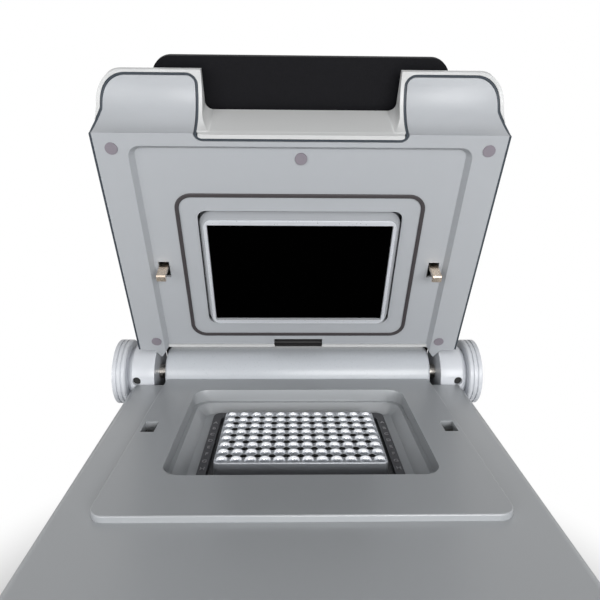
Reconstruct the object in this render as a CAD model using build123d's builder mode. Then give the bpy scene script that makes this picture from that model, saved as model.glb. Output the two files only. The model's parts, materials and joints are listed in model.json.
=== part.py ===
from build123d import *
import os
from math import atan2, cos, degrees, hypot, radians, sin, sqrt, tan

os.makedirs("parts", exist_ok=True)

# Thermal cycler with its lid swung open
# Millimetres, X to the right, Y to the back, Z up from the bench, origin under the middle

# Well grid of the sample block
well_pitch = 9.0
well_columns = 12
well_rows = 8
well_mouth = 5.8
well_tip = 2.4
well_depth = 14.5
relief_width = 3.8
relief_depth = 7.0
block_corner = 3.0
block_edge = 0.8
block_height = 20.0
block_proud = 6.5
well_sides = 8
block_foot_height = 6.0
block_foot_width = 6.0
block_y = 15.0

# Base housing
body_depth = 410.0
body_width = 265.0
body_flare = 2.0
body_corner = 16.0
body_wall = 3.0
foot_height = 8.0
foot_radius = 12.0
foot_inset = 30.0
foot_chamfer = 1.5
deck_height = 186.2
top_round = 5.0
fit_gap = 0.3

# Sloped front with the screen
slope_run = 68.0
slope_drop = 86.0
bezel_width = 188.0
bezel_height = 98.0
bezel_corner = 9.0
bezel_thickness = 3.0
bezel_edge = 1.2
screen_width = 166.0
screen_height = 78.0
glass_thickness = 1.6
glass_margin = 3.0
glass_corner = 4.0
display_thickness = 7.0
display_margin = 5.0

# Rear of the housing
rear_fall_run = 52.0
rear_fall_drop = 14.0
rear_recess = 4.0
rear_panel_thickness = 2.0
rear_frame = 9.0

# Vents, sockets and switch
vent_y = 5.0
vent_drop = 10.0
vent_pitch = 9.0
vent_count = 9
vent_length = 46.0
vent_width = 3.5
port_inset = 34.0
port_drop = 34.0
port_width = 14.0
port_height = 6.8
port_depth = 16.0
port_corner = 1.0
port_wall = 0.8
port_setback = 1.0
inlet_x = -85.0
inlet_z = 42.0
inlet_width = 27.4
inlet_height = 19.8
inlet_depth = 26.0
inlet_lip = 2.5
inlet_corner = 2.0
inlet_wall = 1.5
inlet_chamfer = 4.0
blade_thickness = 2.0
blade_height = 4.0
blade_length = 16.0
blade_spread = 7.0
blade_rise = 3.0
switch_gap = 10.0
switch_width = 13.0
switch_height = 19.0
switch_depth = 14.0
switch_lip = 1.5
switch_corner = 1.0
rocker_width = 9.4
rocker_height = 14.8
rocker_tilt = 8.0
rocker_gap = 0.8
rocker_edge = 1.0
rocker_middle = 2.0
rocker_back = 3.0
rocker_spine = 6.0
data_width = 34.0
data_height = 16.0
data_depth = 16.0
jack_width = 12.0
jack_height = 11.0
grille_pitch = 7.0
grille_count = 21
grille_length = 70.0
grille_slot = 3.5

# Raised deck plate and the recess round the block
plate_side = 3.25
plate_front = 97.5
plate_rise = 3.8
plate_corner = 9.0
plate_edge = 0.8
recess_width = 160.6
recess_length = 121.2
recess_corner = 11.0
collar_depth = 9.4
collar_wall = 3.0
recess_ledge = 2.8
bezel_slope_width = 6.8
bezel_slope_depth = 6.6
floor_thickness = 2.5
window_width = 8.8
window_length = 14.8
window_x = 100.6
window_shift = -1.2

# Label frame round the block
label_frame_width = 128.6
label_frame_length = 97.0
label_frame_corner = 5.0
label_frame_rise = 2.5
label_side = 6.0
label_front = 8.0
frame_flange = 5.5
label_edge = 0.6
gasket_height = 5.0

# Heat pump, heat sink and fans
module_size = 39.0
module_height = 3.8
module_pitch = 40.0
sink_width = 170.0
sink_length = 104.0
sink_base = 8.0
sink_post = 5.0
fin_count = 15
fin_pitch = 9.4
fin_thickness = 2.2
fin_height = 55.0
fan_size = 80.0
fan_corner = 5.0
fan_depth = 25.0
fan_spacing = 84.0
fan_wall = 3.0
fan_hub = 17.0
fan_blades = 7
fan_tip_gap = 1.2
fan_axle = 2.0
fan_drop = 6.0
fan_clearance = 5.0
blade_twist = 35.0
blade_chord = 17.0
blade_thick = 1.8
blade_root = 1.0
duct_wall = 1.5

# Power supply and control board
supply_width = 150.0
supply_length = 96.0
supply_inset = 63.0
supply_height = 40.0
board_width = 110.0
board_length = 130.0
board_gap = 24.0
board_thickness = 1.6
tray_thickness = 3.0
standoff_height = 8.0
standoff_radius = 3.0
standoff_inset = 6.0
board_parts_height = 10.0
chip_x = -20.0
chip_y = 20.0
chip_size = 30.0
bank_x = 28.0
bank_y = 8.0
bank_width = 18.0
bank_length = 44.0
plug_y = -54.0
plug_width = 70.0
plug_length = 9.0

# Hinge
hinge_y = 119.9
hinge_rise = 2.8
housing_radius = 21.0
housing_wall = 3.0
cover_gap = 8.0
housing_edge = 1.5
shaft_radius = 6.0
shaft_clearance = 0.1
shaft_edge = 0.8
shaft_setback = 1.0
barrel_radius = 24.0
barrel_inner = 118.0
barrel_width = 23.0
barrel_bevel = 5.0
barrel_hole = 3.4
barrel_hole_x = 132.5
cap_radius = 27.0
cap_width = 10.7
cap_edge = 1.0
groove_width = 1.0
groove_depth = 0.8
arm_width = 10.0
arm_height = 14.0
arm_rise = 19.0
arm_reach = 22.0
arm_overlap = 10.0
hinge_gap = 1.2
damper_radius = 15.0
damper_length = 62.0

# Lid
open_angle = 64.24
rim_gap = 0.9
panel_rise = 4.4
panel_thickness = 2.5
lid_width = 261.0
lid_reach = 213.5
lid_back_gap = 27.0
lid_height = 44.0
shell_wall = 2.6
shell_overhang = 0.7
parting_width = 1.6
parting_height = 0.6
parting_depth = 2.8
joint_gap = 0.15
lid_crown = 13.0
visor_run = 17.0
visor_radius = 24.0
rear_round = 10.0
boss_radius = 5.0
slot_side = 1.4
slot_length = 14.0
slot_lead = 2.6
cable_width = 40.0
cable_length = 8.3
bumper_front_x = 119.8
bumper_front_reach = 98.4
bumper_back_x = 116.0
bumper_back_reach = 68.2
centre_bumper_reach = 90.4
rim_bumper_proud = 0.6
step_x = 110.2
step_front = 100.2
step_slope = 2.9
step_corner = 8.0
tongue_x = 114.0
tongue_half = 5.5
tongue_reach = 8.0

# Front of the lid: two hollow-faced pods beside a finger notch
cove_radius = 27.0
pod_inset = 3.6
pod_lead = 8.0
pod_corner = 16.0
notch_half = 63.5
notch_corner = 5.5
notch_back = 5.2
notch_lean = 4.0
shell_lip = 3.6

# Handle across the notch
handle_under = 38.0
handle_thickness = 5.0
handle_half = 96.6
handle_front = 36.0
handle_back = 30.0
handle_axis_a = -22.0
handle_corner = 13.0
handle_press = 6.0
handle_gap = 0.8
handle_pin = 2.0
handle_edge = 1.5
handle_side_gap = 1.0
pin_seat = 2.0
pin_reach = 6.0
fork_half = 6.0
fork_wall = 2.4
crank_slot = 14.0
crank_arm = 12.6

# Latch
latch_turn = 13.0
latch_shaft_radius = 3.0
eye_radius = 2.4
hook_width = 6.6
hook_front = 5.6
hook_thickness = 2.8
hook_reach = 5.9
hook_toe = 3.0
hook_lead = 1.0
shaft_end = 106.0
lever_width = 6.0
lever_gap = 0.3
link_clearance = 0.06
bearing_x = 80.0
bearing_width = 8.0
hook_tip_depth = 9.5
link_width = 5.0
link_pin = 1.2
striker_thickness = 1.0
striker_length = 14.0
striker_gap = 0.4
striker_side = 3.0

# Heated platen
platen_width = 135.0
platen_length = 94.0
platen_corner = 6.0
platen_proud = 6.0
heater_width = 129.8
heater_length = 86.4
heater_setback = 1.8
heater_thickness = 6.0
mat_thickness = 1.2
insulation_thickness = 6.0
carrier_thickness = 2.0
carrier_margin = 4.0
pocket_gap = 4.3
platen_travel = 4.0
backing_gap = 0.5
backing_thickness = 2.0
backing_width = 184.0
backing_length = 150.0
post_radius = 3.0
post_x = 52.0
post_y = 36.0
cup_radius = 6.5
cup_height = 12.0
cup_wall = 1.4
post_head = 2.5
heater_edge = 0.6
mat_inset = 2.0
seal_width = 173.0
seal_length = 130.0
seal_corner = 12.0
seal_band = 2.8
seal_proud = 1.2
bumper_radius = 4.0

# Derived heights and places
hinge_z = deck_height + hinge_rise
plate_top = deck_height + plate_rise
floor_z = plate_top - collar_depth - bezel_slope_depth
label_top = floor_z + label_frame_rise
block_top = label_top + block_proud
block_width = well_columns * well_pitch
block_length = well_rows * well_pitch
block_bottom = block_top - block_height
block_foot_top = block_bottom + block_foot_height
sink_top = block_bottom - module_height
sink_bottom = sink_top - sink_base
fan_z = sink_bottom - fin_height / 2 - fan_drop
fan_front = block_y + sink_length / 2 + fan_clearance
fan_back = fan_front + fan_depth
tray_z = foot_height
tray_top = tray_z + tray_thickness
slope_y = -body_depth / 2 + slope_run
slope_foot = deck_height - slope_drop
channel_radius = barrel_radius + hinge_gap
barrel_outer = barrel_inner + barrel_width
rear_panel_y = body_depth / 2 - rear_recess - rear_panel_thickness
rear_panel_top = deck_height - rear_fall_drop - rear_frame - body_wall
rear_panel_bottom = tray_top + fit_gap
rear_panel_width = body_width - body_corner
rear_panel_z = (rear_panel_top + rear_panel_bottom) / 2
panel_face = rear_panel_y + rear_panel_thickness
vent_z = fan_z - vent_drop
port_z = slope_foot - port_drop
switch_x = inlet_x + inlet_width / 2 + switch_gap + switch_width / 2
plate_back = hinge_y - housing_radius - 2 * fit_gap
ledge_z = plate_top - collar_depth
opening_width = recess_width + 2 * collar_wall + 2 * fit_gap
opening_length = recess_length + 2 * collar_wall + 2 * fit_gap
opening_corner = recess_corner + collar_wall
window_y = block_y + window_shift
rear_y = body_depth / 2
plate_width = 2 * (window_x + window_width / 2 + plate_side)
housing_length = 2 * (barrel_inner - cover_gap)
arm_x = barrel_inner + arm_width / 2
supply_y = -rear_y + supply_inset
board_y = supply_y + supply_length / 2 + board_gap + board_length / 2
rim_z = deck_height + rim_gap
panel_z = rim_z + panel_rise
liner_top = panel_z + panel_thickness
lid_back = hinge_y - lid_back_gap
crease_y = hinge_y - lid_reach
shell_half = lid_width / 2 + shell_overhang
shell_low = rim_z + parting_height + parting_depth + 2 * joint_gap
shell_front = crease_y - cove_radius - shell_lip
lid_top = rim_z + lid_height
inner_half = shell_half - shell_wall
handle_y = crease_y - handle_axis_a
handle_z = rim_z + handle_under + handle_thickness / 2
link_z = handle_z - crank_arm
lever_arm = crank_arm * sin(radians(handle_press)) / sin(radians(latch_turn))
latch_y = block_y
latch_z = link_z + lever_arm
platen_low = panel_z - platen_proud
heater_low = platen_low + heater_setback
heater_top = heater_low + heater_thickness
carrier_low = heater_top + mat_thickness + insulation_thickness
carrier_top = carrier_low + carrier_thickness
backing_low = carrier_top + platen_travel + backing_gap
backing_top = backing_low + backing_thickness
arm_z = rim_z + arm_rise
slot_y = latch_y - hook_front - slot_lead + slot_length / 2
hinge_axis = Axis((0, hinge_y, hinge_z), (1, 0, 0))
sides = (-1, 1)


def half_width(y, inset=0.0):
    """Half width of the tapered base at a depth"""
    return body_width / 2 + y * tan(radians(body_flare)) - inset


def body_plan(height, inset, corner):
    """Outline of the base seen from above"""
    front = -body_depth / 2 + inset
    back = body_depth / 2 - inset
    with BuildSketch(Plane.XY.offset(height)) as plan:
        with BuildLine():
            Polyline(
                (-half_width(front, inset), front),
                (half_width(front, inset), front),
                (half_width(back, inset), back),
                (-half_width(back, inset), back),
                close=True,
            )
        make_face()
        fillet(plan.vertices(), corner)
    return plan.sketch


def side_face(*points):
    """Closed outline in the side view, extruded both ways along X by its caller"""
    with BuildSketch(Plane.YZ) as view:
        with BuildLine():
            Polyline(*points, close=True)
        make_face()
    return view.sketch


def rounded(height, width, length, corner):
    """Rounded rectangle lying flat at a height, centred on the sample block"""
    with BuildSketch(Plane.XY.offset(height)) as plan:
        with Locations((0, block_y)):
            RectangleRounded(width, length, corner)
    return plan.sketch


def lid_plan(height, grow):
    """Outline of the lid's liner with its pods and notch, grown outwards"""
    side = lid_width / 2
    front = crease_y - cove_radius
    notch = notch_half + shell_wall + parting_width
    with BuildSketch(Plane.XY.offset(height)) as plan:
        with BuildLine():
            Polyline(
                (side, lid_back),
                (side, crease_y),
                (side - pod_inset, crease_y - pod_lead),
                (side - pod_inset, front),
                (notch, front),
                (notch, crease_y + notch_back),
                (-notch, crease_y + notch_back),
                (-notch, front),
                (-side + pod_inset, front),
                (-side + pod_inset, crease_y - pod_lead),
                (-side, crease_y),
                (-side, lid_back),
                close=True,
            )
        make_face()
        corners = plan.vertices().filter_by_position(Axis.Y, front - 1, front + 1)
        fillet(corners.sort_by(Axis.X)[0], pod_corner)
        corners = plan.vertices().filter_by_position(Axis.Y, front - 1, front + 1)
        fillet(corners.sort_by(Axis.X)[-1], pod_corner)
        inner = plan.vertices().filter_by_position(Axis.X, -notch - 1, notch + 1)
        fillet(inner, notch_corner)
        if grow > 0:
            offset(amount=grow, kind=Kind.ARC)
    return plan.sketch


def cove_start(rise):
    """Where the curve of the pods leaves the flat rim, at a height over the underside"""
    reach = cove_radius + rise
    return crease_y - cove_radius + sqrt(reach**2 - rise**2)


def cove_view(lower, upper):
    """Band that follows the underside of the lid, from the rim up round the pods"""
    front = crease_y - cove_radius
    back = lid_back + lid_height
    tip = front - cove_radius
    low = rim_z + cove_radius + lower
    high = rim_z + cove_radius + upper
    with BuildSketch(Plane.YZ) as view:
        with BuildLine():
            Line((back, rim_z + lower), (cove_start(lower), rim_z + lower))
            RadiusArc((cove_start(lower), rim_z + lower), (front, low), -cove_radius - lower)
            Polyline((front, low), (tip, low), (tip, high), (front, high))
            RadiusArc((front, high), (cove_start(upper), rim_z + upper), cove_radius + upper)
            Polyline((cove_start(upper), rim_z + upper), (back, rim_z + upper), (back, rim_z + lower))
        make_face()
    return view.sketch


def save(piece, name):
    """Label a finished piece and write it"""
    piece.part.label = name
    export_step(piece.part, f"parts/{name}.step")


def save_open(piece, name):
    """Swing a finished lid piece open, label it and write it"""
    opened = piece.part.rotate(hinge_axis, -open_angle)
    opened.label = name
    export_step(opened, f"parts/{name}.step")


# Base housing

profile_points = (
    (-rear_y, tray_z),
    (-rear_y, slope_foot),
    (slope_y, deck_height),
    (rear_y - rear_fall_run, deck_height),
    (rear_y, deck_height - rear_fall_drop),
    (rear_y, tray_z),
)
slope_angle = degrees(atan2(slope_drop, slope_run))
slope_plane = Plane(
    origin=(0, -rear_y + slope_run / 2, slope_foot + slope_drop / 2),
    x_dir=(1, 0, 0),
    z_dir=(0, -sin(radians(slope_angle)), cos(radians(slope_angle))),
)

with BuildPart() as cavity:
    extrude(body_plan(tray_z - 1, body_wall, body_corner - body_wall), amount=deck_height - tray_z)
    lean = body_wall / sin(radians(slope_angle)) - body_wall / tan(radians(slope_angle))
    inner_points = (
        (-rear_y + body_wall, tray_z - 1),
        (-rear_y + body_wall, slope_foot - lean),
        (slope_y + lean, deck_height - body_wall),
        (rear_y - rear_fall_run, deck_height - body_wall),
        (rear_y - body_wall, deck_height - rear_fall_drop - body_wall),
        (rear_y - body_wall, tray_z - 1),
    )
    extrude(side_face(*inner_points), amount=body_width, both=True, mode=Mode.INTERSECT)
    with BuildSketch(Plane.YZ.offset(-body_width)):
        with Locations((hinge_y, hinge_z)):
            Circle(channel_radius + body_wall)
    extrude(amount=2 * body_width, mode=Mode.SUBTRACT)

with BuildPart() as housing:
    extrude(body_plan(tray_z, 0, body_corner), amount=deck_height - tray_z)
    extrude(side_face(*profile_points), amount=body_width, both=True, mode=Mode.INTERSECT)
    crown = housing.edges().filter_by_position(Axis.Z, deck_height - 0.01, deck_height + 0.01)
    fillet(crown, top_round)
    add(cavity.part, mode=Mode.SUBTRACT)
    for side in sides:
        with BuildSketch(Plane.YZ.offset(side * (housing_length / 2 + fit_gap))):
            with Locations((hinge_y, hinge_z)):
                Circle(channel_radius)
        extrude(amount=side * body_width, mode=Mode.SUBTRACT)
    with BuildSketch(Plane.YZ):
        with Locations((hinge_y, hinge_z)):
            Circle(housing_radius + fit_gap)
    extrude(amount=housing_length / 2 + fit_gap, both=True, mode=Mode.SUBTRACT)
    opening = rounded(deck_height - 2 * body_wall, opening_width, opening_length, opening_corner)
    extrude(opening, amount=3 * body_wall, mode=Mode.SUBTRACT)
    with BuildSketch(Plane.XY.offset(deck_height - 2 * body_wall)):
        with Locations((-window_x, window_y), (window_x, window_y)):
            Rectangle(window_width + 2, window_length + 2)
    extrude(amount=3 * body_wall, mode=Mode.SUBTRACT)
    with BuildSketch(slope_plane.offset(-2 * body_wall)):
        Rectangle(screen_width + 2, screen_height + 2)
    extrude(amount=4 * body_wall, mode=Mode.SUBTRACT)
    with BuildSketch(Plane.XZ.offset(-rear_y)):
        with Locations((0, rear_panel_z)):
            Rectangle(rear_panel_width, rear_panel_top - rear_panel_bottom)
    extrude(amount=2 * body_wall, mode=Mode.SUBTRACT)
    for side in sides:
        with BuildSketch(Plane.YZ.offset(side * half_width(0))):
            with Locations((vent_y, vent_z)):
                with GridLocations(vent_pitch, 0, vent_count, 1):
                    Rectangle(vent_width, vent_length)
        extrude(amount=4 * body_wall, both=True, mode=Mode.SUBTRACT)
    with BuildSketch(Plane.XZ.offset(rear_y)):
        with Locations((half_width(-rear_y) - port_inset, port_z)):
            RectangleRounded(port_width + 2 * fit_gap, port_height + 2 * fit_gap, port_corner)
    extrude(amount=-2 * body_wall, mode=Mode.SUBTRACT)
save(housing, "base_housing")

# Floor tray, feet and rear panel

with BuildPart() as tray:
    extrude(body_plan(tray_z, body_wall + fit_gap, body_corner - body_wall), amount=tray_thickness)
    with BuildSketch(Plane.XY.offset(tray_z)):
        with Locations((0, block_y)):
            with GridLocations(vent_pitch, 0, 2 * vent_count, 1):
                Rectangle(vent_width, vent_length)
    extrude(amount=tray_thickness, mode=Mode.SUBTRACT)
save(tray, "base_tray")

foot_spots = (
    (-half_width(-rear_y) + foot_inset, -rear_y + foot_inset),
    (half_width(-rear_y) - foot_inset, -rear_y + foot_inset),
    (-half_width(rear_y) + foot_inset, rear_y - foot_inset),
    (half_width(rear_y) - foot_inset, rear_y - foot_inset),
)
with BuildPart() as feet:
    with BuildSketch():
        with Locations(*foot_spots):
            Circle(foot_radius)
    extrude(amount=foot_height)
    chamfer(feet.edges().group_by(Axis.Z)[0], foot_chamfer)
save(feet, "rubber_feet")

with BuildPart() as rear_panel:
    with BuildSketch(Plane.XZ.offset(-rear_panel_y)) as back_view:
        with Locations((0, rear_panel_z)):
            Rectangle(rear_panel_width - 2 * fit_gap, rear_panel_top - rear_panel_bottom - 2 * fit_gap)
        with Locations((inlet_x, inlet_z)):
            Rectangle(inlet_width, inlet_height, mode=Mode.SUBTRACT)
        with Locations((switch_x, inlet_z)):
            Rectangle(switch_width, switch_height, mode=Mode.SUBTRACT)
        with Locations((-inlet_x, inlet_z)):
            Rectangle(data_width, data_height, mode=Mode.SUBTRACT)
        with Locations((0, fan_z)):
            with GridLocations(grille_pitch, 0, grille_count, 1):
                Rectangle(grille_slot, grille_length, mode=Mode.SUBTRACT)
    extrude(amount=-rear_panel_thickness)
save(rear_panel, "rear_panel")

with BuildPart() as inlet:
    with BuildSketch(Plane.XZ.offset(-rear_panel_y - rear_panel_thickness)):
        with Locations((inlet_x, inlet_z)):
            RectangleRounded(inlet_width + 2 * inlet_lip, inlet_height + 2 * inlet_lip, inlet_corner)
    extrude(amount=-inlet_lip)
    with BuildSketch(Plane.XZ.offset(-rear_panel_y - rear_panel_thickness)):
        with Locations((inlet_x, inlet_z)):
            Rectangle(inlet_width - 2 * fit_gap, inlet_height - 2 * fit_gap)
    extrude(amount=inlet_depth)
    with BuildSketch(Plane.XZ.offset(-rear_panel_y - rear_panel_thickness - inlet_lip)) as socket:
        with Locations((inlet_x, inlet_z)):
            Rectangle(inlet_width - 2 * inlet_wall, inlet_height - 2 * inlet_wall)
        chamfer(socket.vertices().group_by(Axis.Y)[-1], inlet_chamfer)
    extrude(amount=inlet_depth - 2 * inlet_wall, mode=Mode.SUBTRACT)
    with BuildSketch(Plane.XZ.offset(-rear_panel_y + inlet_depth - 4 * inlet_wall)):
        with Locations((inlet_x, inlet_z + blade_rise)):
            Rectangle(blade_thickness, blade_height)
        with Locations((inlet_x - blade_spread, inlet_z), (inlet_x + blade_spread, inlet_z)):
            Rectangle(blade_thickness, blade_height)
    extrude(amount=-blade_length)
save(inlet, "power_inlet")

switch_lip_y = panel_face + switch_lip
with BuildPart() as switch_frame:
    with BuildSketch(Plane.XZ.offset(-switch_lip_y)):
        with Locations((switch_x, inlet_z)):
            RectangleRounded(switch_width + 2 * switch_lip, switch_height + 2 * switch_lip, switch_corner)
    extrude(amount=switch_lip)
    with BuildSketch(Plane.XZ.offset(-panel_face)):
        with Locations((switch_x, inlet_z)):
            Rectangle(switch_width - 2 * fit_gap, switch_height - 2 * fit_gap)
    extrude(amount=switch_depth)
    with BuildSketch(Plane.XZ.offset(-switch_lip_y)):
        with Locations((switch_x, inlet_z)):
            Rectangle(rocker_width + rocker_gap, rocker_height + 2 * rocker_gap)
    extrude(amount=switch_depth - switch_lip, mode=Mode.SUBTRACT)
save(switch_frame, "switch_frame")

rocker_half = rocker_height / 2
rocker_plane = Plane(
    origin=(switch_x - rocker_width / 2, panel_face, inlet_z),
    x_dir=(0, cos(radians(rocker_tilt)), sin(radians(rocker_tilt))),
    z_dir=(1, 0, 0),
)
with BuildPart() as rocker:
    with BuildSketch(rocker_plane):
        with BuildLine():
            Polyline(
                (-rocker_back, -rocker_half),
                (rocker_edge, -rocker_half),
                (rocker_middle, 0),
                (rocker_edge, rocker_half),
                (-rocker_back, rocker_half),
                (-rocker_spine, 0),
                close=True,
            )
        make_face()
    extrude(amount=rocker_width)
save(rocker, "switch_rocker")

with BuildPart() as data_ports:
    with BuildSketch(Plane.XZ.offset(-panel_face - switch_lip)):
        with Locations((-inlet_x, inlet_z)):
            RectangleRounded(data_width + 2 * switch_lip, data_height + 2 * switch_lip, switch_corner)
    extrude(amount=switch_lip)
    with BuildSketch(Plane.XZ.offset(-panel_face)):
        with Locations((-inlet_x, inlet_z)):
            Rectangle(data_width - 2 * fit_gap, data_height - 2 * fit_gap)
    extrude(amount=data_depth)
    with BuildSketch(Plane.XZ.offset(-panel_face - switch_lip)):
        with Locations((-inlet_x, inlet_z)):
            with GridLocations(data_width / 2, 0, 2, 1):
                Rectangle(jack_width, jack_height)
    extrude(amount=data_depth, mode=Mode.SUBTRACT)
save(data_ports, "data_ports")

# Front bezel, display and front socket

glass_width = screen_width + 2 * glass_margin
glass_height = screen_height + 2 * glass_margin
with BuildPart() as front_bezel:
    with BuildSketch(slope_plane):
        RectangleRounded(bezel_width, bezel_height, bezel_corner)
        RectangleRounded(glass_width + fit_gap, glass_height + fit_gap, glass_corner, mode=Mode.SUBTRACT)
    extrude(amount=bezel_thickness)
    front_face = front_bezel.faces().sort_by(Axis(slope_plane.origin, slope_plane.z_dir))[-1]
    fillet(front_face.outer_wire().edges(), bezel_edge)
save(front_bezel, "front_bezel")

with BuildPart() as glass:
    with BuildSketch(slope_plane):
        RectangleRounded(glass_width - fit_gap, glass_height - fit_gap, glass_corner)
    extrude(amount=glass_thickness)
save(glass, "touch_glass")

with BuildPart() as display:
    with BuildSketch(slope_plane.offset(-fit_gap)):
        Rectangle(screen_width, screen_height)
    extrude(amount=-body_wall)
    with BuildSketch(slope_plane.offset(-body_wall - fit_gap)):
        Rectangle(screen_width + 2 * display_margin, screen_height + 2 * display_margin)
    extrude(amount=-display_thickness)
save(display, "display_module")

port_x = half_width(-rear_y) - port_inset
with BuildPart() as usb_port:
    with BuildSketch(Plane.XZ.offset(rear_y)):
        with Locations((port_x, port_z)):
            RectangleRounded(port_width, port_height, port_corner)
            Rectangle(port_width - 2 * port_wall, port_height - 2 * port_wall, mode=Mode.SUBTRACT)
    extrude(amount=-port_depth)
    with BuildSketch(Plane.XZ.offset(rear_y - port_setback)):
        with Locations((port_x, port_z + port_wall)):
            Rectangle(port_width - 4 * port_wall, 2 * port_wall)
    extrude(amount=-port_depth + port_setback)
    with BuildSketch(Plane.XZ.offset(rear_y - port_depth)):
        with Locations((port_x, port_z)):
            Rectangle(port_width, port_height)
    extrude(amount=-2 * port_wall)
save(usb_port, "usb_port")

# Deck plate, recess and label frame

with BuildPart() as deck_plate:
    with BuildSketch(Plane.XY.offset(deck_height)) as plate_plan:
        with Locations((0, (plate_back + block_y - plate_front) / 2)):
            Rectangle(plate_width, plate_back - block_y + plate_front)
        fillet(plate_plan.vertices().group_by(Axis.Y)[0], plate_corner)
    extrude(amount=plate_rise)
    fillet(deck_plate.faces().sort_by(Axis.Z)[-1].edges(), plate_edge)
    collar_width = recess_width + 2 * collar_wall
    collar_length = recess_length + 2 * collar_wall
    collar = rounded(ledge_z, collar_width, collar_length, opening_corner)
    extrude(collar, amount=collar_depth - plate_rise)
    recess = rounded(ledge_z, recess_width, recess_length, recess_corner)
    extrude(recess, amount=collar_depth, mode=Mode.SUBTRACT)
    with BuildSketch(Plane.XY.offset(plate_top)):
        with Locations((-window_x, window_y), (window_x, window_y)):
            Rectangle(window_width, window_length)
    extrude(amount=-plate_rise, mode=Mode.SUBTRACT)
save(deck_plate, "deck_plate")

slope_taper = degrees(atan2(bezel_slope_width, bezel_slope_depth))
tub_width = recess_width - 2 * recess_ledge
tub_length = recess_length - 2 * recess_ledge
with BuildPart() as well_bezel:
    rim = rounded(ledge_z, collar_width, collar_length, opening_corner)
    extrude(rim, amount=-floor_thickness)
    outer_width = tub_width + 2 * floor_thickness
    outer_length = tub_length + 2 * floor_thickness
    outer = rounded(ledge_z, outer_width, outer_length, recess_corner)
    extrude(outer, amount=-bezel_slope_depth - floor_thickness, taper=slope_taper)
    inner = rounded(ledge_z, tub_width, tub_length, recess_corner)
    extrude(inner, amount=-bezel_slope_depth, taper=slope_taper, mode=Mode.SUBTRACT)
    hole_width = label_frame_width + 2 * fit_gap
    hole_length = label_frame_length + 2 * fit_gap
    hole = rounded(ledge_z, hole_width, hole_length, label_frame_corner)
    extrude(hole, amount=-collar_depth - bezel_slope_depth, mode=Mode.SUBTRACT)
save(well_bezel, "well_bezel")

frame_low = block_foot_top + fit_gap
frame_hole_width = label_frame_width - 2 * label_side
frame_hole_length = label_frame_length - 2 * label_front
with BuildPart() as label_frame:
    skirt_width = label_frame_width + 2 * frame_flange
    skirt_length = label_frame_length + 2 * frame_flange
    skirt = rounded(frame_low, skirt_width, skirt_length, label_frame_corner)
    extrude(skirt, amount=floor_z - floor_thickness - fit_gap - frame_low)
    extrude(
        rounded(frame_low, label_frame_width, label_frame_length, label_frame_corner),
        amount=label_top - frame_low,
    )
    fillet(label_frame.faces().sort_by(Axis.Z)[-1].edges(), label_edge)
    extrude(
        rounded(frame_low, frame_hole_width, frame_hole_length, block_corner),
        amount=label_top - frame_low,
        mode=Mode.SUBTRACT,
    )
save(label_frame, "label_frame")

with BuildPart() as gasket:
    extrude(
        rounded(block_foot_top, frame_hole_width - fit_gap, frame_hole_length - fit_gap, block_corner),
        amount=gasket_height,
    )
    extrude(
        rounded(block_foot_top, block_width + fit_gap, block_length + fit_gap, block_corner),
        amount=gasket_height,
        mode=Mode.SUBTRACT,
    )
save(gasket, "block_gasket")

# Sample block, heat pump modules and heat sink

with BuildPart() as well:
    for turn in range(0, 180, 360 // well_sides):
        with BuildSketch(Plane.XZ.rotated((0, 0, turn))):
            with BuildLine():
                Polyline(
                    (-well_mouth / 2, 0),
                    (-well_tip / 2, -well_depth),
                    (well_tip / 2, -well_depth),
                    (well_mouth / 2, 0),
                    close=True,
                )
            make_face()
        extrude(amount=well_mouth, both=True, mode=Mode.ADD if turn == 0 else Mode.INTERSECT)
foot_width = block_width + 2 * block_foot_width
foot_length = block_length + 2 * block_foot_width
with BuildPart() as block:
    extrude(rounded(block_bottom, foot_width, foot_length, block_corner), amount=block_foot_height)
    extrude(rounded(block_bottom, block_width, block_length, block_corner), amount=block_height)
    fillet(block.faces().sort_by(Axis.Z)[-1].edges(), block_edge)
    with Locations((0, block_y, block_top)):
        with GridLocations(well_pitch, well_pitch, well_columns, well_rows):
            add(well.part, mode=Mode.SUBTRACT)
    with BuildSketch(Plane.XY.offset(block_top)):
        with Locations((0, block_y)):
            with GridLocations(well_pitch, well_pitch, well_columns - 1, well_rows - 1):
                Rectangle(relief_width, relief_width, rotation=45)
    extrude(amount=-relief_depth, mode=Mode.SUBTRACT)
save(block, "sample_block")

with BuildPart() as modules:
    with BuildSketch(Plane.XY.offset(sink_top)):
        with Locations((0, block_y)):
            with GridLocations(module_pitch, module_pitch, 3, 2):
                Rectangle(module_size, module_size)
    extrude(amount=module_height)
save(modules, "heat_pump_modules")

with BuildPart() as heat_sink:
    with BuildSketch(Plane.XY.offset(sink_bottom)):
        with Locations((0, block_y)):
            Rectangle(sink_width, sink_length)
    extrude(amount=sink_base)
    with BuildSketch(Plane.XY.offset(sink_bottom)):
        with Locations((0, block_y)):
            with GridLocations(fin_pitch, 0, fin_count, 1):
                Rectangle(fin_thickness, sink_length)
    extrude(amount=-fin_height)
save(heat_sink, "heat_sink")

with BuildPart() as posts:
    with BuildSketch(Plane.XY.offset(tray_top)):
        with Locations((0, block_y)):
            with GridLocations(sink_width - 4 * sink_post, sink_length - 4 * sink_post, 2, 2):
                Circle(sink_post)
    extrude(amount=sink_bottom - tray_top)
save(posts, "sink_posts")

# Fans and duct

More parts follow.
